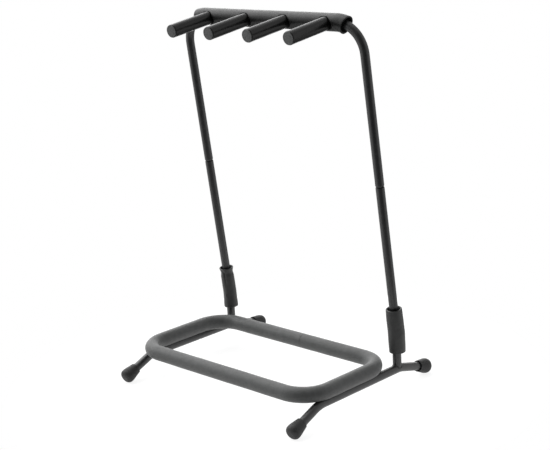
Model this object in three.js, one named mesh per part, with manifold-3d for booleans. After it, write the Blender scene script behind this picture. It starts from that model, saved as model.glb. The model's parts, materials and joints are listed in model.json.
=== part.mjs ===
// Folding rack that holds three guitars side by side.
//
// Two bent steel side rails on rubber feet carry a foam-covered loop that the guitars stand on.
// A vertical post on each rail holds a hinge, wrapped in a foam sleeve, and on each hinge stands a
// lower upright. An inverted-U upper frame plugs into both uprights. Four foam-covered pegs stand
// out of its foam-covered crossbar, and a guitar neck leans in each space between two pegs.
//
// Millimetres, +X to the right, +Y to the rear, +Z up. The origin is on the floor, in the middle
// of the rack's footprint.

import * as THREE from "three";
import { mergeVertices } from "three/addons/utils/BufferGeometryUtils.js";
import Module from "manifold-3d";

const wasm = await Module();
wasm.setup();

// ---------- driving dimensions ----------

// Steel tube, used for the rails, the posts, the loop, the uprights and the upper frame
const TUBE_RADIUS = 8;
const TUBE_BORE = 6.8;
const GAP = 0.3; // between pieces that touch
const SIDE_X = 213.5; // centre plane of each rail, post and upright

// The whole stand leans back a little on its feet
const STAND_TILT = THREE.MathUtils.degToRad(1.05);
const LOOP_HEIGHT = 55.3; // the loop's centre above the floor

// Base loop. The stand's own frame has its origin at the middle of the loop.
const LOOP_HALF_DEPTH = 105.2;
const LOOP_CORNER = 52;
const LOOP_FOAM_RADIUS = 13.9;
const LOOP_SEAM = 0.6; // the ends of the bent tube, and of its foam, meet in the rear bar

// Side rails, with a leg bent down at each end
const RAIL_DROP = 18.6; // the rail's centre below the loop's centre
const RAIL_BEND = 60;
const FRONT_LEG = { y: -78.5, slope: THREE.MathUtils.degToRad(22.3), length: 76.3 };
const REAR_LEG = { y: 141.9, slope: THREE.MathUtils.degToRad(14.9), length: 83.4 };

// Rubber feet, pushed over the ends of the legs. The rim is rounded, between a short straight band
// and a domed end.
const FOOT = { length: 30.5, end: 5, radius: 13.4, rim: 3, band: 1.8, shoulder: 1.2, dome: 2.5 };
const FOOT_MOUTH = { radius: 8.9, lip: 0.6, lipHeight: 2 };

// Screws that clamp the rails to the loop. Each goes in through an access hole under its rail, and
// its head bears on the rail's top wall from inside.
const LOOP_SCREW_Y = 42;
const LOOP_SCREW = { radius: 3, headRadius: 4.5, head: 3.8, chamfer: 0.6, seat: 4.6, point: -2 };
const LOOP_SCREW_SOCKET = { radius: 2, depth: 1.5 };
const LOOP_SCREW_ACCESS = 5.3; // radius of the access hole

// Hinges: a fork in the post, a tongue in the upright and a bolt through both
const PIVOT = { y: 135.3, z: 50 };
const UPRIGHT_LEAN = THREE.MathUtils.degToRad(7.2); // from the stand's own vertical, forwards
const FORK = { collar: -11, plugEnd: -30, cheek: 9.4, slotHalf: 3.3, slotFloor: -7 };
const FORK_STOP = { inner: 6, top: 10.3 }; // rear wall that the upright's collar comes to rest on
const TONGUE = { half: 3, radius: 5.6, collar: 10, collarEnd: 13, plugEnd: 34 };
const BOLT = { radius: 2.5, headRadius: 4.6, headTop: 3.2, head: 2.7, nutRadius: 4.6, nut: 2.7 };
const BOLT_SOCKET = { radius: 1.7, depth: 1.5 };
const SLEEVE = { radius: 14.5, bore: 10, bottom: 16, top: 49.4, bend: 100, pocket: 6, reach: 11.5 };

// Uprights and upper frame, measured up the uprights from the hinge bolts
const JOINT = 277;
const SPIGOT = { radius: 6.5, bore: 5.3, depth: 45, shoulder: 3.5 };
const CROSSBAR = 563.8;
const FRAME_BEND = 53;

// Foam on the crossbar, and the pegs
const BAR_FOAM = { radius: 15.6, halfLength: 178, mouth: 12, mouthDepth: 18 };
const PEGS_ACROSS = 4;
const PEG_SPACING = 95;
const PEG_DROOP = THREE.MathUtils.degToRad(1.6); // below square to the uprights
const PEG_ROOT = 10; // from the crossbar's centre to where the peg's foam begins
const PEG_REACH = 104.5; // from the crossbar's centre to the peg's tip
const PEG_RADIUS = 12;
const PEG_ROD_RADIUS = 5;
const PEG_CAP = { radius: 11.4, flange: 1.2, plug: 8, depth: 4 };

// How finely round shapes are cut
const TUBE_SIDES = 16;
const WIDE_SIDES = 24; // the crossbar's foam and the eye of the hinge
const SMALL_SIDES = 12; // screws, rods and what is hidden inside foam
const BEND_STEP = THREE.MathUtils.degToRad(18);

// ---------- materials ----------

const powderCoat = new THREE.MeshStandardMaterial({ color: 0x1b1c1d, roughness: 0.42, metalness: 0.3 });
const foam = new THREE.MeshStandardMaterial({ color: 0x303433, roughness: 0.92, metalness: 0 });
const pegFoam = new THREE.MeshStandardMaterial({ color: 0x1c1e1d, roughness: 0.9, metalness: 0 });
const rubber = new THREE.MeshStandardMaterial({ color: 0x151515, roughness: 0.75, metalness: 0 });
const plastic = new THREE.MeshStandardMaterial({ color: 0x3c3f3e, roughness: 0.7, metalness: 0 });
const zinc = new THREE.MeshStandardMaterial({ color: 0x8f9396, roughness: 0.35, metalness: 0.9 });

// ---------- solids ----------

const vec = (x, y, z) => new THREE.Vector3(x, y, z);

function solidOf(geometry) {
  const bare = geometry.clone();
  bare.deleteAttribute("normal");
  bare.deleteAttribute("uv");
  const merged = mergeVertices(bare, 1e-3);
  return new wasm.Manifold(
    new wasm.Mesh({
      numProp: 3,
      vertProperties: merged.attributes.position.array,
      triVerts: new Uint32Array(merged.index.array),
    }),
  );
}

function geometryOf(solid) {
  const mesh = solid.getMesh();
  const geometry = new THREE.BufferGeometry();
  geometry.setAttribute("position", new THREE.BufferAttribute(mesh.vertProperties, 3));
  geometry.setIndex(new THREE.BufferAttribute(mesh.triVerts, 1));
  geometry.computeVertexNormals();
  return geometry;
}

const joined = (...shapes) => geometryOf(shapes.map(solidOf).reduce((a, b) => a.add(b)));
const cut = (shape, ...cutters) =>
  geometryOf(cutters.map(solidOf).reduce((a, b) => a.subtract(b), solidOf(shape)));
const common = (a, b) => geometryOf(solidOf(a).intersect(solidOf(b)));

// A round bar between two points.
function bar(radius, from, to, sides = TUBE_SIDES) {
  const along = to.clone().sub(from);
  const shape = new THREE.CylinderGeometry(radius, radius, along.length(), sides);
  shape.applyQuaternion(new THREE.Quaternion().setFromUnitVectors(vec(0, 1, 0), along.normalize()));
  return shape.translate(...from.clone().add(to).multiplyScalar(0.5));
}

function box(low, high) {
  const size = high.clone().sub(low);
  return new THREE.BoxGeometry(...size).translate(...low.clone().add(high).multiplyScalar(0.5));
}

// A hexagon socket that is sunk into a screw's head, down from its face.
function hexSocket({ radius, depth }, face) {
  const hexagon = new THREE.CylinderGeometry(radius, radius, 2 * depth, 6).rotateX(Math.PI / 2);
  return hexagon.translate(0, 0, face);
}

// Points and directions along a line that turns each inner corner on an arc.
function bentLine(corners, bendRadius) {
  const direction = (i) => corners[i + 1].clone().sub(corners[i]).normalize();
  const last = corners.length - 1;
  const stations = [{ point: corners[0], tangent: direction(0) }];
  for (let i = 1; i < last; i++) {
    const into = direction(i - 1);
    const turn = into.angleTo(direction(i));
    const axis = into.clone().cross(direction(i)).normalize();
    const start = corners[i].clone().addScaledVector(into, -bendRadius * Math.tan(turn / 2));
    const inward = axis.clone().cross(into).multiplyScalar(bendRadius);
    const centre = start.clone().add(inward);
    const steps = Math.max(2, Math.round(turn / BEND_STEP));
    for (let k = 0; k <= steps; k++) {
      const angle = (turn * k) / steps;
      stations.push({
        point: centre.clone().sub(inward.clone().applyAxisAngle(axis, angle)),
        tangent: into.clone().applyAxisAngle(axis, angle),
      });
    }
  }
  stations.push({ point: corners[last], tangent: direction(last - 1) });
  return stations;
}

// A path that is sampled only at its stations: none along a straight, several round a bend.
class StationPath extends THREE.Curve {
  constructor(stations) {
    super();
    this.stations = stations;
  }
  station(u) {
    return this.stations[Math.round(u * (this.stations.length - 1))];
  }
  getPointAt(u, target = vec(0, 0, 0)) {
    return target.copy(this.station(u).point);
  }
  getTangentAt(u, target = vec(0, 0, 0)) {
    return target.copy(this.station(u).tangent);
  }
}

// A round tube along stations, or a round bar where no bore is given.
function sweep(stations, radius, bore, sides = TUBE_SIDES) {
  const section = new THREE.Shape().absarc(0, 0, radius, 0, 2 * Math.PI, false);
  if (bore) section.holes.push(new THREE.Path().absarc(0, 0, bore, 0, 2 * Math.PI, true));
  return new THREE.ExtrudeGeometry(section, {
    curveSegments: sides / 2, // a full circle gets twice as many sides
    steps: stations.length - 1,
    extrudePath: new StationPath(stations),
  });
}

// A length of steel tube that stands along Z.
function uprightTube(bottom, top) {
  const stations = [bottom, top].map((z) => ({ point: vec(0, 0, z), tangent: vec(0, 0, 1) }));
  return sweep(stations, TUBE_RADIUS, TUBE_BORE);
}

// A turned shape: its profile holds [radius, height] pairs, and height runs along +Z.
function turned(profile, sides = TUBE_SIDES) {
  const points = profile.map(([r, h]) => new THREE.Vector2(r, h));
  return new THREE.LatheGeometry(points, sides).rotateX(Math.PI / 2);
}

function addPiece(group, name, geometry, material) {
  const mesh = new THREE.Mesh(geometry, material);
  mesh.name = name;
  group.add(mesh);
  return mesh;
}

// ---------- paths ----------

const SIDES = [
  { name: "left", sign: -1 },
  { name: "right", sign: 1 },
];

function loopPath() {
  const [x, y] = [SIDE_X, LOOP_HALF_DEPTH];
  const seam = LOOP_SEAM / 2;
  const corners = [[seam, y], [x, y], [x, -y], [-x, -y], [-x, y], [-seam, y]];
  return bentLine(corners.map(([cx, cy]) => vec(cx, cy, 0)), LOOP_CORNER);
}

// A leg runs from the corner of its rail, forwards (-1) or to the rear (+1), and down.
function legPoint(leg, way, x, distance) {
  const run = distance * Math.cos(leg.slope);
  return vec(x, leg.y + way * run, -RAIL_DROP - distance * Math.sin(leg.slope));
}

function railPath(x) {
  return bentLine(
    [
      legPoint(FRONT_LEG, -1, x, FRONT_LEG.length - FOOT.end - GAP),
      legPoint(FRONT_LEG, -1, x, 0),
      legPoint(REAR_LEG, 1, x, 0),
      legPoint(REAR_LEG, 1, x, REAR_LEG.length - FOOT.end - GAP),
    ],
    RAIL_BEND,
  );
}

function upperFramePath(bottom) {
  const corners = [[-SIDE_X, bottom], [-SIDE_X, CROSSBAR], [SIDE_X, CROSSBAR], [SIDE_X, bottom]];
  return bentLine(corners.map(([x, z]) => vec(x, 0, z)), FRAME_BEND);
}

// ---------- base pieces, in the stand's own frame ----------

const LOOP_SCREWS = SIDES.flatMap((side) =>
  [-1, 1].map((way) => ({
    name: `${side.name}_${way < 0 ? "front" : "rear"}`,
    x: side.sign * SIDE_X,
    y: way * LOOP_SCREW_Y,
  })),
);

// The hole for a screw's shank, up from the rail's centre.
function shankHole({ x, y }) {
  const { radius, point } = LOOP_SCREW;
  return bar(radius + GAP, vec(x, y, -RAIL_DROP), vec(x, y, point + 1), SMALL_SIDES);
}

function accessHole({ x, y }) {
  const below = vec(x, y, -RAIL_DROP - 2 * TUBE_RADIUS);
  return bar(LOOP_SCREW_ACCESS, below, vec(x, y, -RAIL_DROP), SMALL_SIDES);
}

function loopScrew({ x, y }) {
  const { radius, headRadius, head, chamfer, seat, point } = LOOP_SCREW;
  const top = seat - RAIL_DROP;
  const body = turned(
    [
      [0, top - head],
      [headRadius - chamfer, top - head],
      [headRadius, top - head + chamfer],
      [headRadius, top],
      [radius, top],
      [radius, point],
      [0, point],
    ],
    SMALL_SIDES,
  );
  return cut(body, hexSocket(LOOP_SCREW_SOCKET, top - head)).translate(x, y, 0);
}

function sideRail(side) {
  const x = side.sign * SIDE_X;
  const screws = LOOP_SCREWS.filter((screw) => screw.x === x);
  const tube = sweep(railPath(x), TUBE_RADIUS, TUBE_BORE);
  return cut(tube, ...screws.map(shankHole), ...screws.map(accessHole));
}

function loopFrame() {
  const tube = sweep(loopPath(), TUBE_RADIUS, TUBE_BORE, SMALL_SIDES);
  return cut(tube, ...LOOP_SCREWS.map(shankHole));
}

// The foam is squeezed on the rails, so its underside follows them.
function loopFoam() {
  const rails = SIDES.map((side) => sweep(railPath(side.sign * SIDE_X), TUBE_RADIUS + GAP));
  const tube = sweep(loopPath(), LOOP_FOAM_RADIUS, TUBE_RADIUS + GAP);
  return cut(tube, ...rails, ...LOOP_SCREWS.map(shankHole));
}

// A tapered rubber cap. The stand's weight presses a small flat on its rim, on the floor.
function foot(leg, way, x, floor) {
  const { length, end, radius, rim, band, shoulder, dome } = FOOT;
  const bore = TUBE_RADIUS + GAP;
  const chamfer = rim * (1 - Math.SQRT1_2);
  const shape = turned([
    [0, length - end],
    [bore, length - end],
    [bore, 0],
    [FOOT_MOUTH.radius, 0],
    [FOOT_MOUTH.radius + FOOT_MOUTH.lip, FOOT_MOUTH.lipHeight],
    [radius - shoulder, length - rim - 4 * band],
    [radius, length - rim - band],
    [radius, length - rim],
    [radius - chamfer, length - chamfer],
    [radius - rim, length],
    [0.55 * (radius - rim), length + 0.7 * dome],
    [0, length + dome],
  ]);
  const mouth = legPoint(leg, way, x, leg.length - length);
  const along = legPoint(leg, way, x, leg.length).sub(mouth).normalize();
  shape.applyQuaternion(new THREE.Quaternion().setFromUnitVectors(vec(0, 0, 1), along));
  return cut(shape.translate(...mouth), floor);
}

// ---------- hinge pieces; the fork and the post stand straight up in the stand's frame ----------

function hingePost() {
  const tube = uprightTube(-PIVOT.z - RAIL_DROP + 2, FORK.collar - GAP);
  const rail = sweep(railPath(0), TUBE_RADIUS + GAP).translate(0, -PIVOT.y, -PIVOT.z);
  return cut(tube, rail);
}

function hingeBoltHole() {
  return bar(BOLT.radius + GAP, vec(-2 * TUBE_RADIUS, 0, 0), vec(2 * TUBE_RADIUS, 0, 0), SMALL_SIDES);
}

function hingeFork() {
  const wide = 2 * TUBE_RADIUS;
  const round = bar(TUBE_RADIUS, vec(0, 0, FORK.collar), vec(0, 0, FORK_STOP.top));
  const cheeks = joined(
    common(round, bar(FORK.cheek, vec(-wide, 0, 0), vec(wide, 0, 0), WIDE_SIDES)),
    common(round, box(vec(-wide, -wide, -wide), vec(wide, wide, 0))),
  );
  const stop = common(round, box(vec(-wide, FORK_STOP.inner, -wide), vec(wide, wide, wide)));
  const plug = bar(TUBE_BORE - GAP, vec(0, 0, FORK.plugEnd), vec(0, 0, FORK.collar + 1));
  const { slotHalf, slotFloor } = FORK;
  const slot = box(vec(-slotHalf, -wide, slotFloor), vec(slotHalf, FORK_STOP.inner, wide));
  return cut(joined(cheeks, stop, plug), slot, hingeBoltHole());
}

function hingeTongue() {
  const { half, radius, collar, collarEnd, plugEnd } = TONGUE;
  const eye = bar(radius, vec(-half, 0, 0), vec(half, 0, 0), WIDE_SIDES);
  const neck = box(vec(-half, -radius, 0), vec(half, radius, collar + 1));
  const ring = bar(TUBE_RADIUS, vec(0, 0, collar), vec(0, 0, collarEnd));
  const plug = bar(TUBE_BORE - GAP, vec(0, 0, collar), vec(0, 0, plugEnd));
  return cut(joined(eye, neck, ring, plug), hingeBoltHole());
}

// The bolt's head is on the outside of the rack and its nut on the inside.
function hingeBolt() {
  const seat = TUBE_RADIUS + GAP;
  const { radius, headRadius, headTop, head, nut } = BOLT;
  const end = -seat - nut;
  const body = turned(
    [
      [0, end],
      [radius, end],
      [radius, seat],
      [headRadius, seat],
      [headRadius, seat + 0.5 * head],
      [headTop, seat + head],
      [0, seat + head],
    ],
    SMALL_SIDES,
  );
  return cut(body, hexSocket(BOLT_SOCKET, seat + head)).rotateY(Math.PI / 2);
}

function hingeNut() {
  const { nut, nutRadius } = BOLT;
  const hexagon = new THREE.CylinderGeometry(nutRadius, nutRadius, nut, 6).rotateZ(Math.PI / 2);
  hexagon.translate(-TUBE_RADIUS - GAP - nut / 2, 0, 0);
  return cut(hexagon, hingeBoltHole());
}

// The foam sleeve bends with the hinge, and has a pocket for the bolt's head and nut.
function hingeSleeve() {
  const top = vec(0, -Math.sin(UPRIGHT_LEAN), Math.cos(UPRIGHT_LEAN)).multiplyScalar(SLEEVE.top);
  const path = bentLine([vec(0, 0, SLEEVE.bottom - PIVOT.z), vec(0, 0, 0), top], SLEEVE.bend);
  const pocket = bar(SLEEVE.pocket, vec(-SLEEVE.reach, 0, 0), vec(SLEEVE.reach, 0, 0), SMALL_SIDES);
  return cut(sweep(path, SLEEVE.radius, SLEEVE.bore), pocket);
}

// ---------- uprights and upper frame, in the leaning frame ----------

function lowerUpright() {
  return uprightTube(TONGUE.collarEnd + GAP, JOINT);
}

// A narrowed end that plugs into the lower upright, with a sloping shoulder above its rim.
function spigot(x) {
  const { radius, bore, depth, shoulder } = SPIGOT;
  const buried = 2; // overlap with the tube above
  const [outer, inner] = [TUBE_RADIUS - GAP, TUBE_BORE + 0.2];
  return turned([
    [bore, -depth],
    [radius, -depth],
    [radius, 0.5],
    [outer, shoulder],
    [outer, shoulder + buried],
    [inner, shoulder + buried],
    [inner, shoulder],
    [bore, 1],
    [bore, -depth],
  ]).translate(x, 0, JOINT);
}

function upperFrame() {
  const tube = sweep(upperFramePath(JOINT + SPIGOT.shoulder), TUBE_RADIUS, TUBE_BORE);
  return joined(tube, spigot(-SIDE_X), spigot(SIDE_X));
}

const PEGS = Array.from({ length: PEGS_ACROSS }, (_, i) => ({
  name: `${i + 1}`,
  x: (i - (PEGS_ACROSS - 1) / 2) * PEG_SPACING,
}));

// Peg pieces lie along -Y from the centre of the crossbar.
const ahead = (distance) => vec(0, -distance, 0);
const crossways = (radius) =>
  bar(radius, vec(-2 * PEG_RADIUS, 0, 0), vec(2 * PEG_RADIUS, 0, 0), WIDE_SIDES);
const PEG_END = PEG_REACH - PEG_CAP.flange - GAP; // end of the peg's foam
const PEG_FLOOR = PEG_END - PEG_CAP.depth; // bottom of the recess for the cap's plug

function pegRodHole() {
  return bar(PEG_ROD_RADIUS + GAP, ahead(0), ahead(PEG_REACH + 1), SMALL_SIDES);
}

// The foam has an open mouth at each end, and a socket that each peg is pushed into.
function barFoam() {
  const { radius, halfLength, mouth, mouthDepth } = BAR_FOAM;
  const end = (x) => vec(x, 0, CROSSBAR);
  const mouths = SIDES.map(({ sign }) =>
    bar(mouth, end(sign * (halfLength - mouthDepth)), end(sign * (halfLength + 1))),
  );
  const sockets = PEGS.flatMap(({ x }) => {
    const socket = bar(PEG_RADIUS + GAP, ahead(PEG_ROOT - GAP), ahead(2 * radius));
    return [socket, pegRodHole()].map((hole) => hole.rotateX(PEG_DROOP).translate(x, 0, CROSSBAR));
  });
  const tube = sweep(upperFramePath(JOINT), TUBE_RADIUS + GAP);
  return cut(bar(radius, end(-halfLength), end(halfLength), WIDE_SIDES), tube, ...mouths, ...sockets);
}

function pegRod() {
  const rod = bar(PEG_ROD_RADIUS, ahead(TUBE_BORE), ahead(PEG_FLOOR - GAP), SMALL_SIDES);
  return cut(rod, crossways(TUBE_RADIUS + GAP));
}

function pegSleeve() {
  const recess = bar(PEG_CAP.plug + GAP, ahead(PEG_FLOOR), ahead(PEG_REACH + 1));
  return cut(bar(PEG_RADIUS, ahead(PEG_ROOT), ahead(PEG_END), WIDE_SIDES), pegRodHole(), recess);
}

function pegCap() {
  const { radius, flange, plug } = PEG_CAP;
  return joined(
    bar(radius, ahead(PEG_REACH - flange), ahead(PEG_REACH), WIDE_SIDES),
    bar(plug, ahead(PEG_FLOOR + GAP), ahead(PEG_REACH - 0.5 * flange)),
  );
}

// ---------- assembly ----------

function addBase(stand) {
  stand.updateMatrix();
  const floor = new THREE.BoxGeometry(1000, 1000, 20).translate(0, 0, -10);
  floor.applyMatrix4(stand.matrix.clone().invert());
  addPiece(stand, "loop_frame", loopFrame(), powderCoat);
  addPiece(stand, "loop_foam", loopFoam(), foam);
  for (const screw of LOOP_SCREWS) addPiece(stand, `loop_screw_${screw.name}`, loopScrew(screw), zinc);
  for (const side of SIDES) {
    const x = side.sign * SIDE_X;
    addPiece(stand, `side_rail_${side.name}`, sideRail(side), powderCoat);
    addPiece(stand, `foot_${side.name}_front`, foot(FRONT_LEG, -1, x, floor), rubber);
    addPiece(stand, `foot_${side.name}_rear`, foot(REAR_LEG, 1, x, floor), rubber);
  }
}

function addHinge(stand, side) {
  const hinge = new THREE.Group();
  hinge.position.set(side.sign * SIDE_X, PIVOT.y, PIVOT.z);
  addPiece(hinge, `hinge_post_${side.name}`, hingePost(), powderCoat);
  addPiece(hinge, `hinge_fork_${side.name}`, hingeFork(), zinc);
  addPiece(hinge, `hinge_sleeve_${side.name}`, hingeSleeve(), foam);
  const turn = side.sign > 0 ? 0 : Math.PI;
  addPiece(hinge, `hinge_bolt_${side.name}`, hingeBolt().rotateZ(turn), zinc);
  addPiece(hinge, `hinge_nut_${side.name}`, hingeNut().rotateZ(turn), zinc);
  stand.add(hinge);
}

function addUprights(leaning) {
  for (const side of SIDES) {
    const x = side.sign * SIDE_X;
    addPiece(leaning, `hinge_tongue_${side.name}`, hingeTongue().translate(x, 0, 0), zinc);
    addPiece(leaning, `lower_upright_${side.name}`, lowerUpright().translate(x, 0, 0), powderCoat);
  }
}

function addUpperFrame(leaning) {
  addPiece(leaning, "upper_frame", upperFrame(), powderCoat);
  addPiece(leaning, "bar_foam", barFoam(), foam);
  for (const peg of PEGS) {
    const pieces = new THREE.Group();
    pieces.position.set(peg.x, 0, CROSSBAR);
    pieces.rotation.x = PEG_DROOP;
    addPiece(pieces, `peg_rod_${peg.name}`, pegRod(), powderCoat);
    addPiece(pieces, `peg_foam_${peg.name}`, pegSleeve(), pegFoam);
    addPiece(pieces, `peg_cap_${peg.name}`, pegCap(), plastic);
    leaning.add(pieces);
  }
}

const stand = new THREE.Group();
stand.rotation.x = -STAND_TILT;
stand.position.z = LOOP_HEIGHT;
addBase(stand);
for (const side of SIDES) addHinge(stand, side);

const leaning = new THREE.Group();
leaning.position.set(0, PIVOT.y, PIVOT.z);
leaning.rotation.x = UPRIGHT_LEAN;
addUprights(leaning);
addUpperFrame(leaning);
stand.add(leaning);

const rack = new THREE.Group();
rack.add(stand);
const footprint = new THREE.Box3().setFromObject(rack, true);
stand.position.y = -(footprint.min.y + footprint.max.y) / 2;

export default rack;
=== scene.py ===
"""Fine meshes, finishes, light and camera for the folding guitar rack, built round its CAD frame.

Metres, +X to the right, +Y to the rear, +Z up. Pieces are made in one of two local frames, as in
the CAD: the stand's, with its origin at the middle of the base loop, and the leaning frame of the
uprights, with its origin between the two hinge bolts and +Z up the uprights.
"""

import json
import math

import bpy
from mathutils import Matrix, Vector, noise


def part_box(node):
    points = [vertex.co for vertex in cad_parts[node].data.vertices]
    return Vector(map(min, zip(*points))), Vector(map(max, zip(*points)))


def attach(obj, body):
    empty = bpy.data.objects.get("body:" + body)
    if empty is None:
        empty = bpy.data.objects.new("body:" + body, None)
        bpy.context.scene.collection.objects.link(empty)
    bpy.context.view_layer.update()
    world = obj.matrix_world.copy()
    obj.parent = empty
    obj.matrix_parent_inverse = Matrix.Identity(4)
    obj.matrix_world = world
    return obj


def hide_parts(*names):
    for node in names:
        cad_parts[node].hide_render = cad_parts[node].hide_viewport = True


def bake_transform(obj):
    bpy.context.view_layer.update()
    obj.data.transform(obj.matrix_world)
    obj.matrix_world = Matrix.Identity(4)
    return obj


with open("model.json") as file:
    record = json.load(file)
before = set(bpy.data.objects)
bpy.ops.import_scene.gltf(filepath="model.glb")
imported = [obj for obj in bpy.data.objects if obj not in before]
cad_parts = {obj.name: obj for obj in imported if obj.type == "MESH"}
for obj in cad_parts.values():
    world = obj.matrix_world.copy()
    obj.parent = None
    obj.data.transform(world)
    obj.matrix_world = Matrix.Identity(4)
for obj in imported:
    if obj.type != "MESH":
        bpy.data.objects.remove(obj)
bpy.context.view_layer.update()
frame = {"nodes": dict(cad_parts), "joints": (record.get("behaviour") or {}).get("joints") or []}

# ---------- places that come from the frame ----------

JOINTS = {joint["name"]: joint for joint in frame["joints"]}
PIVOT = Vector(JOINTS["frame_fold"]["pos_m"])
UP = Vector(JOINTS["upper_frame_lift"]["axis"]).normalized()


def middle(node):
    low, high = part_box(node)
    return (low + high) / 2


def width(node):
    low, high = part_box(node)
    return high.x - low.x


SIDE_X = middle("side_rail_right").x
TUBE = width("side_rail_right") / 2  # radius of the steel tube
LOOP_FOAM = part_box("loop_foam")[1].x - SIDE_X  # radius of the loop's foam
BAR_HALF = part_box("bar_foam")[1].x
CROSSBAR = (middle("bar_foam") - PIVOT).dot(UP)  # up the uprights from the hinge bolts
PEG_X = [middle(f"peg_cap_{i}").x for i in (1, 2, 3, 4)]
SIDES = {"left": -1, "right": 1}

# ---------- dimensions, as in the CAD ----------

STAND_TILT = math.radians(1.05)
UPRIGHT_LEAN = math.radians(7.2)  # in the stand's frame
BORE = 0.0068  # radius inside the steel tube
GAP = 0.0003  # between pieces that touch
LOOP_HALF_DEPTH = 0.1052
LOOP_CORNER = 0.052
RAIL_DROP = 0.0186
RAIL_BEND = 0.060
FRONT_LEG = {"y": -0.0785, "slope": math.radians(22.3), "length": 0.0763, "way": -1}
REAR_LEG = {"y": 0.1419, "slope": math.radians(14.9), "length": 0.0834, "way": 1}
FOOT_LENGTH = 0.0305
FOOT_END = 0.005  # rubber beyond the end of the leg
FOOT_DOME = 0.0025
SCREW_Y = 0.042
SCREW_HEAD = {"radius": 0.0045, "height": 0.0038, "seat": 0.0046}  # seat: above the rail's centre
SCREW_ACCESS = 0.0053
PIVOT_Y = 0.1353
PIVOT_Z = 0.050
POST_TOP = 0.0113  # below the bolt
SLEEVE_BOTTOM = 0.016
SLEEVE_TOP = 0.0494
SLEEVE_BEND = 0.100
SLEEVE_BORE = 0.010
UPRIGHT_START = 0.0133
JOINT = 0.277
SPIGOT = {"radius": 0.0065, "bore": 0.0053, "depth": 0.045, "shoulder": 0.0035}
FRAME_BEND = 0.053
BAR_FOAM = 0.0156
PEG_DROOP = math.radians(1.6)
PEG_ROOT = 0.010
PEG_REACH = 0.1045
PEG_FOAM = 0.012
PEG_ROD = 0.005
PEG_CAP = {"radius": 0.0114, "flange": 0.0012, "plug": 0.008, "depth": 0.004}

# ---------- dimensions of the looks only ----------

LOOP_SEAM_X = 0.014  # the loop's foam is joined here, a little to the right of its tube's joint
SEAM_GAP = 0.00001
FOOT_RADIUS = 0.0137
FOOT_MOUTH = {"start": 0.001, "bore": 0.0097, "radius": 0.0103, "depth": 0.006}
POST_SUNK = 0.006  # a post's foot runs this far into its rail, below the rail's top
BAR_SHIFT = 0.003  # the crossbar's foam has been pushed a little to the right
BAR_MOUTH = {"open": 0.0050, "depth": 0.018}
SLEEVE_SHIFT = {"left": 0.0025, "right": -0.0025}  # each sleeve has slipped a little up or down
SLEEVE_BACK = 0.0017  # the stiff foam stands this far back of its post at the bottom
SNUG_SLEEVE = 0.0132  # radius of the left sleeve
LOOSE_SLEEVE = 0.0148  # and of the right one
SAWN_RIM = 0.0005  # rounding of a tube's sawn end
HIDDEN_RIM = 0.0004  # and of an end that is out of sight
FOAM_RIM = 0.0009

STAND = Matrix.Translation(middle("loop_foam")) @ Matrix.Rotation(-STAND_TILT, 4, "X")
LEANING = Matrix.Translation(PIVOT) @ Matrix.Rotation(math.atan2(-UP.y, UP.z), 4, "X")

# How finely round shapes are cut
CORNER_STEPS = 5
TUBE_SIDES = 40
FOAM_SIDES = 48
TUBE_STEP = 0.05
FOAM_STEP = 0.003
BAR_STEP = 0.002
SLEEVE_STEP = 0.0015
TURN_STEP = math.radians(4)
SHARP = math.radians(40)  # an edge that turns more than this stays crisp
ON_AXIS = 1e-7  # a point of a profile this near the axis is on it

# ---------- paths ----------


class BentPath:
    """A line in one plane with rounded corners. It can be asked for any distance along it."""

    def __init__(self, corners, bend, plane):
        self.plane = Vector(plane)
        corners = [Vector(corner) for corner in corners]
        ways = [(b - a).normalized() for a, b in zip(corners, corners[1:])]
        self.pieces = []  # start distance, length, start point, start direction, curvature
        self.length = 0.0
        point = corners[0]
        for i, way in enumerate(ways):
            last = i == len(ways) - 1
            turn = 0.0 if last else self.angle_to(way, ways[i + 1])
            trim = bend * math.tan(abs(turn) / 2)
            self.add((corners[i + 1] - way * trim - point).length, point, way, 0.0)
            if turn:
                curvature = math.copysign(1 / bend, turn)
                self.add(bend * abs(turn), corners[i + 1] - way * trim, way, curvature)
                point = corners[i + 1] + ways[i + 1] * trim

    def angle_to(self, a, b):
        return math.atan2(self.plane.dot(a.cross(b)), a.dot(b))

    def add(self, length, point, way, curvature):
        self.pieces.append((self.length, length, point, way, curvature))
        self.length += length

    def at(self, distance):
        """The point and the direction at a distance along the path."""
        start, _, point, way, curvature = next(
            (piece for piece in reversed(self.pieces) if distance >= piece[0]), self.pieces[0]
        )
        along = distance - start
        if not curvature:
            return point + way * along, way
        turned = Matrix.Rotation(along * curvature, 3, self.plane)
        inward = self.plane.cross(way) / curvature
        return point + inward - turned @ inward, turned @ way

    def marks(self, step):
        """Distances that follow the path closely: at most step apart, and closer round bends."""
        found = []
        for start, length, _, _, curvature in self.pieces:
            longest = min(step, TURN_STEP / abs(curvature)) if curvature else step
            count = max(1, math.ceil(length / longest))
            found += [start + length * i / count for i in range(count)]
        return found + [self.length]


def leg_point(leg, x, distance):
    """A point down a leg of a rail, from the corner where the leg begins."""
    run = leg["way"] * distance * math.cos(leg["slope"])
    return Vector((x, leg["y"] + run, -RAIL_DROP - distance * math.sin(leg["slope"])))


def rail_path(x):
    corners = [
        leg_point(FRONT_LEG, x, FRONT_LEG["length"] - FOOT_END - GAP),
        leg_point(FRONT_LEG, x, 0),
        leg_point(REAR_LEG, x, 0),
        leg_point(REAR_LEG, x, REAR_LEG["length"] - FOOT_END - GAP),
    ]
    return BentPath(corners, RAIL_BEND, (1, 0, 0))


def loop_path():
    """Once round the loop's foam, whose two ends are pressed together in the rear bar."""
    x, y = SIDE_X, LOOP_HALF_DEPTH
    start, end = LOOP_SEAM_X + SEAM_GAP, LOOP_SEAM_X - SEAM_GAP
    corners = [(start, y, 0), (x, y, 0), (x, -y, 0), (-x, -y, 0), (-x, y, 0), (end, y, 0)]
    return BentPath(corners, LOOP_CORNER, (0, 0, 1))


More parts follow.
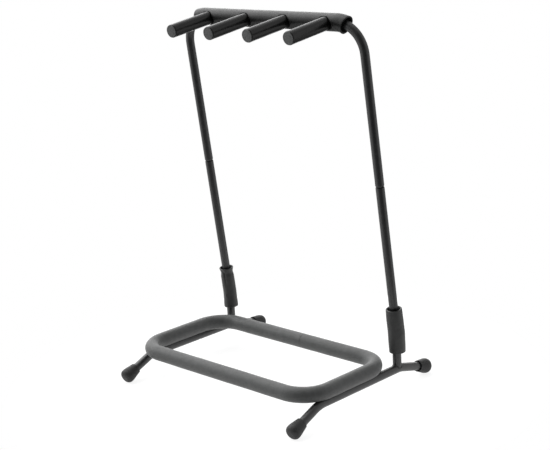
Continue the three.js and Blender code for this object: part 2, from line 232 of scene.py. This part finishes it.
def frame_path():
    x, bottom = SIDE_X, JOINT - SPIGOT["depth"]
    corners = [(-x, 0, bottom), (-x, 0, CROSSBAR), (x, 0, CROSSBAR), (x, 0, bottom)]
    return BentPath(corners, FRAME_BEND, (0, 1, 0))


def straight(start, end, plane):
    return BentPath([start, end], 1.0, plane)


# ---------- meshes ----------


def ring(path, distance, radius, sides):
    """Points round the path at a distance along it. radius is a function of the angle."""
    point, way = path.at(distance)
    across = path.plane.cross(way)
    points = []
    for k in range(sides):
        angle = 2 * math.pi * k / sides
        arm = across * math.cos(angle) + path.plane * math.sin(angle)
        points.append(point + arm * radius(angle))
    return points


def skin(name, rings, place, closed=False):
    """A smooth mesh over rings of points. A ring of one point is a pole."""
    points = [point for each in rings for point in each]
    starts = [sum(len(each) for each in rings[:i]) for i in range(len(rings))]
    faces = []
    pairs = list(zip(range(len(rings)), range(1, len(rings))))
    for i, j in pairs + ([(len(rings) - 1, 0)] if closed else []):
        a, b, count = starts[i], starts[j], max(len(rings[i]), len(rings[j]))
        for k in range(count):
            n = (k + 1) % count
            if len(rings[i]) == 1:
                faces.append((a, b + n, b + k))
            elif len(rings[j]) == 1:
                faces.append((a + k, a + n, b))
            else:
                faces.append((a + k, a + n, b + n, b + k))
    mesh = bpy.data.meshes.new(name)
    mesh.from_pydata(points, [], faces)
    mesh.transform(place)
    mesh.shade_smooth()
    piece = bpy.data.objects.new(name, mesh)
    bpy.context.scene.collection.objects.link(piece)
    return piece


def steady(radius):
    return lambda distance, angle: radius


def wall(path, start, end, outer, inner, corner, marks, sides=TUBE_SIDES):
    """Rings out along the outside of a tube, and back along its bore. Its rims are rounded to
    corner. outer and inner are radii, as functions of the distance and the angle."""
    quarter = [math.pi / 2 * i / CORNER_STEPS for i in range(CORNER_STEPS + 1)]
    rim = [(corner * (1 - math.cos(a)), corner * (math.sin(a) - 1)) for a in quarter]
    stops = [(start + along, change) for along, change in rim]
    stops += [(mark, 0.0) for mark in marks if start + corner < mark < end - corner]
    stops += [(end - along, change) for along, change in reversed(rim)]
    outside = [
        ring(path, stop, lambda angle: outer(stop, angle) + change, sides) for stop, change in stops
    ]
    inside = [
        ring(path, stop, lambda angle: inner(stop, angle) - change, sides)
        for stop, change in reversed(stops)
    ]
    return outside, inside


def tube(name, path, start, end, outer, inner, corner, marks, place, sides=TUBE_SIDES):
    outside, inside = wall(path, start, end, outer, inner, corner, marks, sides)
    return skin(name, outside + inside, place, closed=True)


def filleted(corners):
    """A profile through corners of (radius, height, fillet), each rounded to its fillet."""
    points = []
    for i, (radius, height, fillet) in enumerate(corners):
        here = Vector((radius, height))
        if not fillet:
            points.append(here)
            continue
        back = (Vector(corners[i - 1][:2]) - here).normalized()
        on = (Vector(corners[i + 1][:2]) - here).normalized()
        half = back.angle(on) / 2
        trim = fillet / math.tan(half)
        centre = here + (back + on).normalized() * (fillet / math.sin(half))
        first, last = here + back * trim - centre, here + on * trim - centre
        turn = first.angle_signed(last)
        for k in range(CORNER_STEPS + 1):
            points.append(centre + Matrix.Rotation(-turn * k / CORNER_STEPS, 2) @ first)
    return points


def drilled(piece, cutters):
    """Cuts each cutter out of a piece, with crisp edges, and removes the cutters."""
    for cutter in cutters:
        cut = piece.modifiers.new(cutter.name, "BOOLEAN")
        cut.operation = "DIFFERENCE"
        cut.solver = "EXACT"
        cut.object = cutter
    seen = piece.evaluated_get(bpy.context.evaluated_depsgraph_get())
    piece.data = bpy.data.meshes.new_from_object(seen)
    piece.modifiers.clear()
    piece.data.set_sharp_from_angle(angle=SHARP)
    for cutter in cutters:
        bpy.data.objects.remove(cutter)


def lathe(name, corners, place, sides=TUBE_SIDES):
    """A turned piece about the local Z axis. Its profile runs up the outside."""
    rings = []
    for point in filleted(corners):
        if point.x < ON_AXIS:
            rings.append([Vector((0, 0, point.y))])
            continue
        angles = [2 * math.pi * k / sides for k in range(sides)]
        spokes = [(math.cos(angle), math.sin(angle)) for angle in angles]
        rings.append([Vector((point.x * x, point.x * y, point.y)) for x, y in spokes])
    return skin(name, rings, place)


def aimed(origin, direction):
    """A placement that puts local Z along a direction."""
    turn = Vector((0, 0, 1)).rotation_difference(Vector(direction)).to_matrix().to_4x4()
    return Matrix.Translation(origin) @ turn


def ripple(size, height, seed):
    """A gentle unevenness of a soft surface, as a function of the distance and the angle."""

    def at(distance, angle):
        spot = Vector((distance / size, math.cos(angle) + seed, math.sin(angle) - seed))
        return height * noise.noise(spot)

    return at


# ---------- materials ----------


class Finish:
    """A Principled material with helpers for the nodes that shape its surface."""

    def __init__(self, name, color, roughness, **sockets):
        self.material = bpy.data.materials.new(name)
        self.material.use_nodes = True
        self.tree = self.material.node_tree
        self.shader = self.tree.nodes["Principled BSDF"]
        self.set(self.shader, {"Base Color": (*color, 1), "Roughness": roughness, **sockets})
        self.place = self.node("ShaderNodeTexCoord").outputs["Object"]
        self.bumps = None

    def set(self, node, values):
        for socket, value in values.items():
            node.inputs[socket].default_value = value

    def node(self, kind, links=None, values=None):
        made = self.tree.nodes.new(kind)
        self.set(made, values or {})
        for socket, source in (links or {}).items():
            self.tree.links.new(source, made.inputs[socket])
        return made

    def link(self, source, socket):
        self.tree.links.new(source, self.shader.inputs[socket])

    def lumps(self, size, detail=2.0, roughness=0.5):
        """Soft noise whose lumps are about size across."""
        values = {"Scale": 1 / size, "Detail": detail, "Roughness": roughness}
        return self.node("ShaderNodeTexNoise", {"Vector": self.place}, values).outputs["Fac"]

    def cells(self, size):
        """Distance from the middle of each cell of a foam whose cells are about size across."""
        made = self.node("ShaderNodeTexVoronoi", {"Vector": self.place}, {"Scale": 1 / size})
        return made.outputs["Distance"]

    def mottle(self, source, dark, light):
        """Colours the surface from dark to light."""
        ramp = self.node("ShaderNodeValToRGB", {"Fac": source})
        for stop, place, color in zip(ramp.color_ramp.elements, (0.35, 0.65), (dark, light)):
            stop.position = place
            stop.color = (*color, 1)
        self.link(ramp.outputs["Color"], "Base Color")

    def vary_roughness(self, source, low, high):
        """Makes the surface rougher where the source is higher."""
        values = {"From Min": 0.3, "From Max": 0.7, "To Min": low, "To Max": high}
        made = self.node("ShaderNodeMapRange", {"Value": source}, values)
        self.link(made.outputs["Result"], "Roughness")

    def bump(self, source, distance, strength):
        """Adds a bump to what is there already."""
        links = {"Height": source}
        if self.bumps:
            links["Normal"] = self.bumps
        values = {"Distance": distance, "Strength": strength}
        self.bumps = self.node("ShaderNodeBump", links, values).outputs["Normal"]
        self.link(self.bumps, "Normal")


def powder_coat():
    """Satin black powder coat with a fine orange peel."""
    coat = Finish("powder_coat", (0.012, 0.0125, 0.013), 0.4, **{"Specular IOR Level": 0.65})
    coat.mottle(coat.lumps(0.012), (0.0105, 0.011, 0.0115), (0.0145, 0.015, 0.0155))
    coat.vary_roughness(coat.lumps(0.006, 3.0), 0.34, 0.46)
    coat.bump(coat.lumps(0.0011, 1.0), 0.00012, 0.5)
    coat.bump(coat.lumps(0.0004, 1.0), 0.00004, 0.4)
    return coat.material


def foam(name, dark, light, cell, sheen, roughness, gloss):
    """Closed-cell foam: skinned cells, small open pores and a little mottling."""
    skinned = Finish(name, light, roughness, **{"Specular IOR Level": gloss})
    skinned.set(skinned.shader, {"Sheen Weight": sheen, "Sheen Roughness": 0.6})
    skinned.mottle(skinned.lumps(0.009, 4.0, 0.6), dark, light)
    skinned.vary_roughness(skinned.lumps(0.004, 3.0), roughness - 0.06, roughness + 0.06)
    skinned.bump(skinned.lumps(0.006, 2.0), 0.0002, 0.3)
    skinned.bump(skinned.cells(cell), cell * 0.2, 0.35)
    skinned.bump(skinned.lumps(cell * 0.5, 2.0, 0.6), cell * 0.12, 0.35)
    return skinned.material


def rubber():
    """Moulded black rubber with a faint grain."""
    moulded = Finish("foot_rubber", (0.016, 0.016, 0.016), 0.6, **{"Specular IOR Level": 0.4})
    moulded.mottle(moulded.lumps(0.004, 3.0), (0.013, 0.013, 0.013), (0.02, 0.02, 0.02))
    moulded.vary_roughness(moulded.lumps(0.003, 3.0), 0.5, 0.68)
    moulded.bump(moulded.lumps(0.0006, 2.0), 0.00008, 0.5)
    return moulded.material


def disc_plastic():
    """Matt moulded discs in the ends of the pegs."""
    moulded = Finish("peg_disc", (0.085, 0.087, 0.087), 0.5, **{"Specular IOR Level": 0.4})
    moulded.mottle(moulded.lumps(0.003, 3.0), (0.07, 0.072, 0.072), (0.10, 0.102, 0.102))
    moulded.vary_roughness(moulded.lumps(0.002, 2.0), 0.48, 0.62)
    moulded.bump(moulded.lumps(0.0007, 2.0), 0.00006, 0.5)
    return moulded.material


def zinc():
    """Zinc-plated steel with a little blotching."""
    plate = Finish("zinc_plate", (0.55, 0.56, 0.57), 0.35, Metallic=1.0)
    plate.mottle(plate.lumps(0.003, 4.0), (0.45, 0.46, 0.47), (0.62, 0.63, 0.64))
    plate.vary_roughness(plate.lumps(0.0015, 3.0), 0.26, 0.46)
    plate.bump(plate.lumps(0.0004, 2.0), 0.00003, 0.5)
    return plate.material


FOAMS = {
    "loop_foam": {
        "dark": (0.042, 0.0438, 0.0432),
        "light": (0.055, 0.0573, 0.0565),
        "cell": 0.0007,
        "sheen": 0.12,
        "roughness": 0.56,
        "gloss": 0.42,
    },
    "bar_foam": {
        "dark": (0.006, 0.0063, 0.0062),
        "light": (0.009, 0.0094, 0.0093),
        "cell": 0.0007,
        "sheen": 0.04,
        "roughness": 0.36,
        "gloss": 0.24,
    },
    "peg_foam": {
        "dark": (0.005, 0.0052, 0.0051),
        "light": (0.008, 0.0083, 0.0082),
        "cell": 0.0006,
        "sheen": 0.01,
        "roughness": 0.3,
        "gloss": 0.28,
    },
    "sleeve_foam": {
        "dark": (0.015, 0.0156, 0.0154),
        "light": (0.021, 0.0218, 0.0215),
        "cell": 0.0007,
        "sheen": 0.04,
        "roughness": 0.5,
        "gloss": 0.45,
    },
}

# The finish of each of the record's material slots
MATERIALS = {
    "black_tube": powder_coat(),
    **{name: foam(name, **look) for name, look in FOAMS.items()},
    "foot_rubber": rubber(),
    "peg_cap": disc_plastic(),
    "zinc_steel": zinc(),
}


def dress(piece, slot, body, *nodes):
    """Gives a piece its finish and its body, and hides the CAD nodes it stands for."""
    piece.data.materials.append(MATERIALS[slot])
    if body:
        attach(piece, body)
    if nodes:
        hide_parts(*nodes)


# ---------- base ----------


def rail_height(y):
    """Height of a rail's centre line under a point of the loop, in the stand's frame."""
    for leg in (FRONT_LEG, REAR_LEG):
        trim = RAIL_BEND * math.tan(leg["slope"] / 2)
        past = leg["way"] * (y - leg["y"]) + trim
        if past > 0:
            return -RAIL_DROP - past * past / (2 * RAIL_BEND)
    return -RAIL_DROP


def clear_of_rails(point):
    """Where a point of the foam is squeezed to by a rail, with a slight bulge beside the rail."""
    bulge, reach = 0.0005, 0.004
    for sign in SIDES.values():
        centre = Vector((sign * SIDE_X, point.y, rail_height(point.y)))
        away = point - centre
        depth = TUBE + GAP - away.length
        if depth > 0:
            return centre + away.normalized() * (TUBE + GAP)
        if depth > -reach and away.z > 0:
            share = 1 + depth / reach
            return point + Vector((math.copysign(bulge * share * share, away.x), 0, 0))
    return point


def loop_foam():
    path = loop_path()
    rim = 0.0007
    uneven = ripple(size=0.03, height=0.00022, seed=3.0)

    def outer(distance, angle):
        return LOOP_FOAM + uneven(distance, angle)

    marks = path.marks(FOAM_STEP)
    outside, inside = wall(
        path, 0.0, path.length, outer, steady(TUBE + GAP), rim, marks, FOAM_SIDES
    )
    outside = [[clear_of_rails(point) for point in each] for each in outside]
    piece = skin("loop_foam_tube", outside + inside, STAND, closed=True)
    dress(piece, "loop_foam", "base", "loop_foam")


def access_hole(x, y):
    """A cutter for the hole under a rail that a clamp screw goes in by."""
    height = 2 * TUBE
    profile = [(0, 0, 0), (SCREW_ACCESS, 0, 0), (SCREW_ACCESS, height, 0), (0, height, 0)]
    return lathe("access_hole", profile, STAND @ Matrix.Translation((x, y, -RAIL_DROP - height)))


def rails():
    near_holes = 0.010
    for side, sign in SIDES.items():
        path = rail_path(sign * SIDE_X)
        middle_mark = next(mark for mark in path.marks(0.001) if path.at(mark)[0].y > 0)
        holes = [middle_mark - SCREW_Y, middle_mark + SCREW_Y]
        beside = [hole + way * near_holes for hole in holes for way in (-1, 1)]
        marks = sorted(path.marks(TUBE_STEP) + beside)
        piece = tube(
            f"rail_tube_{side}", path, 0.0, path.length, steady(TUBE), steady(BORE), SAWN_RIM,
            marks, STAND,
        )
        drilled(piece, [access_hole(sign * SIDE_X, way * SCREW_Y) for way in (-1, 1)])
        dress(piece, "black_tube", "base", f"side_rail_{side}")


def feet():
    """Tapered rubber caps, pressed flat where they stand on the floor. Heights in the profile are
    measured from the mouth towards the tip."""
    pocket, mouth = FOOT_LENGTH - FOOT_END, FOOT_MOUTH["start"]
    profile = [
        # the pocket for the leg, which opens out towards the mouth
        (0, pocket, 0),
        (TUBE + GAP, pocket, 0.0004),
        (TUBE + GAP, FOOT_MOUTH["depth"], 0.0004),
        (FOOT_MOUTH["bore"], mouth, 0.0002),
        # the rim and the taper
        (FOOT_MOUTH["radius"], mouth, 0.0003),
        (0.0106, 0.003, 0.002),
        (0.0133, 0.0178, 0.004),
        # the wide part, and its rounded and slightly domed end
        (FOOT_RADIUS, 0.0210, 0.002),
        (FOOT_RADIUS, FOOT_LENGTH, 0.008),
        (0.0068, FOOT_LENGTH + 0.75 * FOOT_DOME, 0.006),
        (0, FOOT_LENGTH + FOOT_DOME, 0),
    ]
    for side, sign in SIDES.items():
        for end, leg in {"front": FRONT_LEG, "rear": REAR_LEG}.items():
            start = leg_point(leg, sign * SIDE_X, leg["length"] - FOOT_LENGTH)
            tip = leg_point(leg, sign * SIDE_X, leg["length"])
            piece = lathe(f"foot_tip_{side}_{end}", profile, STAND @ aimed(start, tip - start))
            for vertex in piece.data.vertices:
                vertex.co.z = max(vertex.co.z, 0.0)
            dress(piece, "foot_rubber", "base", f"foot_{side}_{end}")


def clamp_screws():
    radius, height = SCREW_HEAD["radius"], SCREW_HEAD["height"]
    socket = {"radius": 0.002, "depth": 0.0014}
    shank = {"radius": 0.003, "end": height + 0.012}
    profile = [
        (0, socket["depth"], 0),
        (socket["radius"], socket["depth"], 0),
        (socket["radius"], 0, 0.0002),
        (radius, 0, 0.0006),
        (radius, height, 0.0002),
        (shank["radius"], height, 0),
        (shank["radius"], shank["end"], 0),
        (0, shank["end"], 0),
    ]
    seat = SCREW_HEAD["seat"] - RAIL_DROP - height
    for side, sign in SIDES.items():
        for end, y in {"front": -SCREW_Y, "rear": SCREW_Y}.items():
            place = STAND @ Matrix.Translation((sign * SIDE_X, y, seat))
            piece = lathe(f"clamp_screw_{side}_{end}", profile, place)
            dress(piece, "zinc_steel", "base", f"loop_screw_{side}_{end}")


def posts():
    bottom, top = -RAIL_DROP + TUBE - POST_SUNK, PIVOT_Z - POST_TOP
    for side, sign in SIDES.items():
        x = sign * SIDE_X
        path = straight((x, PIVOT_Y, bottom), (x, PIVOT_Y, top), (1, 0, 0))
        piece = tube(
            f"post_tube_{side}", path, 0.0, path.length, steady(TUBE), steady(BORE), HIDDEN_RIM,
            [], STAND,
        )
        dress(piece, "black_tube", "base", f"hinge_post_{side}")
        dress(weld_bead(f"post_weld_{side}", x), "black_tube", "base")


def weld_bead(name, x):
    """A bead of weld round the foot of a post, where it stands on its rail."""
    steps, sides, bead, sunk, scallops = 120, 10, 0.0013, 0.0002, 22
    rings = []
    for i in range(steps):
        turn = 2 * math.pi * i / steps
        out = Vector((math.cos(turn), math.sin(turn), 0))
        y = PIVOT_Y + TUBE * out.y
        half = min(abs(TUBE * out.x), TUBE * 0.98)
        height = rail_height(y) + math.sqrt(TUBE * TUBE - half * half)
        centre = Vector((x, PIVOT_Y, height)) + out * (TUBE - sunk)
        lump = noise.noise(out * 4 + Vector((x, 0, 0)))
        size = bead * (1 + 0.18 * math.sin(turn * scallops) + 0.2 * lump)
        rings.append(
            [
                centre + out * (size * math.cos(a)) + Vector((0, 0, size * math.sin(a)))
                for a in (-2 * math.pi * k / sides for k in range(sides))
            ]
        )
    return skin(name, rings, STAND, closed=True)


# ---------- hinge sleeves ----------


def sleeve_path(x, shift):
    pivot = Vector((x, PIVOT_Y, PIVOT_Z))
    lean = Vector((0, -math.sin(UPRIGHT_LEAN), math.cos(UPRIGHT_LEAN)))
    bottom = (x, PIVOT_Y + SLEEVE_BACK, SLEEVE_BOTTOM + shift)
    return BentPath([bottom, pivot, pivot + lean * (SLEEVE_TOP + shift)], SLEEVE_BEND, (1, 0, 0))


def smooth(value, start, end):
    """A smooth step, from 0 at the start to 1 at the end."""
    share = min(1.0, max(0.0, (value - start) / (end - start)))
    return share * share * (3 - 2 * share)


def hump(value, centre, half):
    """A smooth hump, 1 at the centre and nearly gone at two halves from it."""
    return math.exp(-(((value - centre) / half) ** 2))


def over_bolt(up, angle):
    """How much the bolt's head and nut, at the two sides, lift the foam. up is from the bolt."""
    return hump(up, 0, 0.0075) * abs(math.sin(angle)) ** 6


def snug_sleeve(distance, angle, length):
    """Radius of the left sleeve. It is pinched under its lip, creased below that, and flares out
    at its foot. The hinge shows through as a small bump."""
    down = length - distance
    lip = 0.0009 * hump(down, 0, 0.0035)
    pinch = 0.0013 * hump(down, 0.010, 0.005)
    flare = 0.0009 * hump(distance, 0.003, 0.012)
    turn = math.remainder(angle - 0.10 - 0.3 * smooth(down, 0.003, 0.014), 2 * math.pi)
    creased = smooth(down, 0.002, 0.008) * (1 - smooth(down, 0.022, 0.042))
    crease = 0.0017 * hump(turn, 0, 0.15) * creased
    around = math.remainder(angle - 0.12, 2 * math.pi)
    bump = 0.0010 * hump(around, 0, 0.16) * hump(distance, 0.026, 0.0030)
    return SNUG_SLEEVE + lip - pinch + flare - crease + bump


def loose_sleeve(distance, angle, length):
    """Radius of the right sleeve, which is wider, and a little fuller in the middle."""
    return LOOSE_SLEEVE + 0.0006 * math.sin(math.pi * distance / length)


def sleeves():
    for side, sign in SIDES.items():
        shift = SLEEVE_SHIFT[side]
        path = sleeve_path(sign * SIDE_X, shift)
        bolt = PIVOT_Z - SLEEVE_BOTTOM - shift
        uneven = ripple(size=0.02, height=0.0003, seed=7.0 * sign)
        shape = loose_sleeve if sign > 0 else snug_sleeve

        def outer(distance, angle):
            radius = shape(distance, angle, path.length)
            return radius + uneven(distance, angle) + 0.0006 * over_bolt(distance - bolt, angle)

        def inner(distance, angle):
            mouth = 0.0018 * hump(distance, path.length, 0.004)
            return SLEEVE_BORE + mouth + 0.0017 * over_bolt(distance - bolt, angle)

        piece = tube(
            f"sleeve_foam_{side}", path, 0.0, path.length, outer, inner, FOAM_RIM,
            path.marks(SLEEVE_STEP), STAND, 2 * FOAM_SIDES,
        )
        dress(piece, "sleeve_foam", None, f"hinge_sleeve_{side}")
        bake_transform(piece)


# ---------- uprights and upper frame ----------


def uprights():
    for side, sign in SIDES.items():
        x = sign * SIDE_X
        path = straight((x, 0, UPRIGHT_START), (x, 0, JOINT), (1, 0, 0))
        piece = tube(
            f"upright_tube_{side}", path, 0.0, path.length, steady(TUBE), steady(BORE), SAWN_RIM,
            [], LEANING,
        )
        dress(piece, "black_tube", "uprights", f"lower_upright_{side}")


def upper_frame():
    """A bent tube, drawn down to a spigot at each end."""
    path = frame_path()
    narrow, shoulder, depth = SPIGOT["radius"], SPIGOT["shoulder"], SPIGOT["depth"]
    foot, top = depth + 0.0005, depth + shoulder

    def outer(distance, angle):
        up = min(distance, path.length - distance)
        return narrow + (TUBE - narrow) * min(1.0, max(0.0, (up - foot) / (top - foot)))

    def inner(distance, angle):
        up = min(distance, path.length - distance)
        return SPIGOT["bore"] + (BORE - SPIGOT["bore"]) * smooth(up, foot, top)

    steps = [foot, foot + 0.0004, top - 0.0004, top, top + 0.0006]
    marks = sorted(path.marks(TUBE_STEP) + steps + [path.length - step for step in steps])
    piece = tube(
        "upper_frame_tube", path, 0.0, path.length, outer, inner, HIDDEN_RIM, marks, LEANING
    )
    dress(piece, "black_tube", "upper", "upper_frame")


def bar_foam():
    """The foam follows the tube into its bends, and opens out into a hollow mouth at each end."""
    path = frame_path()
    rim, flare = 0.0006, 0.0006
    uneven = ripple(size=0.025, height=0.00018, seed=11.0)
    start = path.length / 2 - BAR_HALF + BAR_SHIFT
    end = path.length / 2 + BAR_HALF + BAR_SHIFT

    def outer(distance, angle):
        lip = hump(distance, end, 0.005) + 0.5 * hump(distance, start, 0.005)
        return BAR_FOAM + uneven(distance, angle) + flare * lip

    def inner(distance, angle):
        inside = min(distance - start, end - distance)
        return TUBE + GAP + BAR_MOUTH["open"] * (1 - smooth(inside, 0.002, BAR_MOUTH["depth"]))

    outside, inside = wall(
        path, start, end, outer, inner, rim, path.marks(BAR_STEP), 2 * FOAM_SIDES
    )
    outside = [[dented(point) for point in each] for each in outside]
    piece = skin("crossbar_foam", outside + inside, LEANING, closed=True)
    dress(piece, "bar_foam", "upper", "bar_foam")


def dented(point):
    """Where a point of the crossbar's foam is pushed in to, round the root of a peg. The dent's
    edge is crisp above the peg and soft below it."""
    crisp, softer = 0.0012, 0.0060
    floor, edge = PEG_ROOT - GAP, PEG_FOAM + 0.0002
    wide = crisp + softer * smooth(CROSSBAR - point.z, -0.009, 0.002)
    for x in PEG_X:
        away = math.hypot(point.x - x, point.z - CROSSBAR)
        depth = -point.y - floor
        if depth > 0 and away < 2 * PEG_FOAM:
            kept = smooth(away, edge, edge + wide)
            return Vector((point.x, -floor - depth * kept, point.z))
    return point


# ---------- pegs ----------


def peg_place(x):
    """A peg's own frame. Its origin is in the crossbar's centre, and its local -Y runs along it."""
    turn = Matrix.Rotation(PEG_DROOP, 4, "X")
    return LEANING @ Matrix.Translation((x, 0, CROSSBAR)) @ turn


def peg_foam(number, x):
    end = PEG_REACH - PEG_CAP["flange"] - GAP
    recess, step = end - PEG_CAP["depth"], 0.0002
    path = straight((0, 0, 0), (0, -end, 0), (1, 0, 0))
    uneven = ripple(size=0.02, height=0.00014, seed=2.3 * number)

    def outer(distance, angle):
        return PEG_FOAM + uneven(distance, angle)

    def inner(distance, angle):
        wide = smooth(distance, recess, recess + step)
        return PEG_ROD + GAP + (PEG_CAP["plug"] - PEG_ROD) * wide

    marks = sorted(path.marks(FOAM_STEP) + [recess, recess + step])
    piece = tube(
        f"peg_grip_{number}", path, PEG_ROOT, end, outer, inner, FOAM_RIM, marks, peg_place(x),
        FOAM_SIDES,
    )
    dress(piece, "peg_foam", "upper", f"peg_foam_{number}")


def peg_disc(number, x):
    """A moulded cap: a plug, and a flange with a shallow ring sunk in its slightly domed face."""
    flange, plug, radius = PEG_CAP["flange"], PEG_CAP["plug"], PEG_CAP["radius"]
    ring_radius, ring_depth, dome = 0.0080, 0.0002, 0.0002
    end = flange + GAP + PEG_CAP["depth"]
    profile = [
        (0, GAP, 0),
        (plug, GAP, 0.0003),
        (plug, end - flange, 0),
        (radius, end - flange, 0.0002),
        (radius, end, 0.0006),
        (ring_radius + 0.0007, end, 0.0002),
        (ring_radius + 0.0004, end - ring_depth, 0.0001),
        (ring_radius - 0.0004, end - ring_depth, 0.0001),
        (ring_radius - 0.0007, end, 0.0002),
        (0, end + dome, 0),
    ]
    place = peg_place(x) @ aimed((0, end - PEG_REACH, 0), (0, -1, 0))
    piece = lathe(f"peg_disc_{number}", profile, place)
    dress(piece, "peg_cap", "upper", f"peg_cap_{number}")


# ---------- parts that stay as in the CAD, inside the foam ----------


def hidden_parts():
    hinge = ("hinge_fork", "hinge_tongue", "hinge_bolt", "hinge_nut")
    slots = {f"{part}_{side}": "zinc_steel" for part in hinge for side in SIDES}
    slots["loop_frame"] = "black_tube"
    slots.update({f"peg_rod_{number}": "black_tube" for number in (1, 2, 3, 4)})
    for name, slot in slots.items():
        for material_slot in frame["nodes"][name].material_slots:
            material_slot.material = MATERIALS[slot]


# ---------- studio ----------

CAMERA_PLACE = (1.60202, -1.60574, 0.92046)
CAMERA_AZIMUTH = math.radians(44.496)
CAMERA_ELEVATION = math.radians(15.410)
CAMERA_ROLL = math.radians(-3.596)
CAMERA_LENS = 84.867
CAMERA_SENSOR = 36


def camera():
    data = bpy.data.cameras.new("camera")
    data.lens = CAMERA_LENS
    data.sensor_width = CAMERA_SENSOR
    made = bpy.data.objects.new("camera", data)
    made.matrix_world = (
        Matrix.Translation(CAMERA_PLACE)
        @ Matrix.Rotation(CAMERA_AZIMUTH, 4, "Z")
        @ Matrix.Rotation(math.pi / 2 - CAMERA_ELEVATION, 4, "X")
        @ Matrix.Rotation(CAMERA_ROLL, 4, "Z")
    )
    bpy.context.scene.collection.objects.link(made)
    bpy.context.scene.camera = made


def pointing(azimuth, elevation):
    """The direction from the rack to a place round it. Azimuth 0 is in front, and 90 on the right."""
    azimuth, elevation = math.radians(azimuth), math.radians(elevation)
    level = Vector((math.sin(azimuth), -math.cos(azimuth), 0))
    return level * math.cos(elevation) + Vector((0, 0, math.sin(elevation)))


# Light from all round, and soft lights far away: azimuth, elevation, how far from its middle each is
# full and where it ends, in degrees, and its strength
FILL = 0.13
SOFT_LIGHTS = [
    (-85, 48, 12, 42, 3.2),  # key, above on the left
    (224, 75, 15, 45, 0.9),  # overhead
    (-52, 4, 22, 62, 1.05),  # left
    (132, 8, 20, 60, 0.8),  # right
    (224, 6, 16, 42, 2.3),  # the white sweep behind
]

FLOOR_RADIUS = 0.5
FLOOR_GLOW = 0.86


def sky(nodes, links):
    """Strength of the studio's light in each direction, as a socket of the world's nodes."""
    way = nodes.new("ShaderNodeTexCoord").outputs["Generated"]
    total = None
    for azimuth, elevation, full, end, strength in SOFT_LIGHTS:
        aim = nodes.new("ShaderNodeVectorMath")
        aim.operation = "DOT_PRODUCT"
        aim.inputs[1].default_value = pointing(azimuth, elevation)
        links.new(way, aim.inputs[0])
        light = nodes.new("ShaderNodeMapRange")
        light.interpolation_type = "SMOOTHSTEP"
        light.inputs["From Min"].default_value = math.cos(math.radians(end))
        light.inputs["From Max"].default_value = math.cos(math.radians(full))
        light.inputs["To Max"].default_value = strength
        links.new(aim.outputs["Value"], light.inputs["Value"])
        add = nodes.new("ShaderNodeMath")
        add.inputs[0].default_value = FILL
        if total:
            links.new(total, add.inputs[0])
        links.new(light.outputs["Result"], add.inputs[1])
        total = add.outputs["Value"]
    return total


def studio():
    """The light that falls on the rack, and the plain white that the camera sees behind it."""
    world = bpy.data.worlds.new("studio")
    world.use_nodes = True
    nodes, links = world.node_tree.nodes, world.node_tree.links
    light = nodes["Background"]
    light.inputs["Color"].default_value = (1, 1, 1, 1)
    links.new(sky(nodes, links), light.inputs["Strength"])
    backdrop = nodes.new("ShaderNodeBackground")
    backdrop.inputs["Color"].default_value = (1, 1, 1, 1)
    backdrop.inputs["Strength"].default_value = 1.0
    ray = nodes.new("ShaderNodeLightPath")
    mix = nodes.new("ShaderNodeMixShader")
    links.new(ray.outputs["Is Camera Ray"], mix.inputs["Fac"])
    links.new(light.outputs["Background"], mix.inputs[1])
    links.new(backdrop.outputs["Background"], mix.inputs[2])
    links.new(mix.outputs["Shader"], nodes["World Output"].inputs["Surface"])
    bpy.context.scene.world = world
    bpy.context.scene.view_settings.view_transform = "Standard"


def ground():
    """White paper that glows a little, so that only the rack's soft shadow shows on it."""
    bpy.ops.mesh.primitive_circle_add(vertices=96, radius=FLOOR_RADIUS, fill_type="NGON")
    floor = bpy.context.object
    floor.name = "floor"
    glow = {
        "Emission Color": (1, 1, 1, 1),
        "Emission Strength": FLOOR_GLOW,
        "Specular IOR Level": 0.0,
    }
    paper = Finish("white_floor", (0.22, 0.22, 0.22), 0.9, **glow)
    floor.data.materials.append(paper.material)


# ---------- assembly ----------

camera()
studio()
ground()
loop_foam()
rails()
feet()
clamp_screws()
posts()
sleeves()
uprights()
upper_frame()
bar_foam()
for number, x in enumerate(PEG_X, start=1):
    peg_foam(number, x)
    peg_disc(number, x)
hidden_parts()
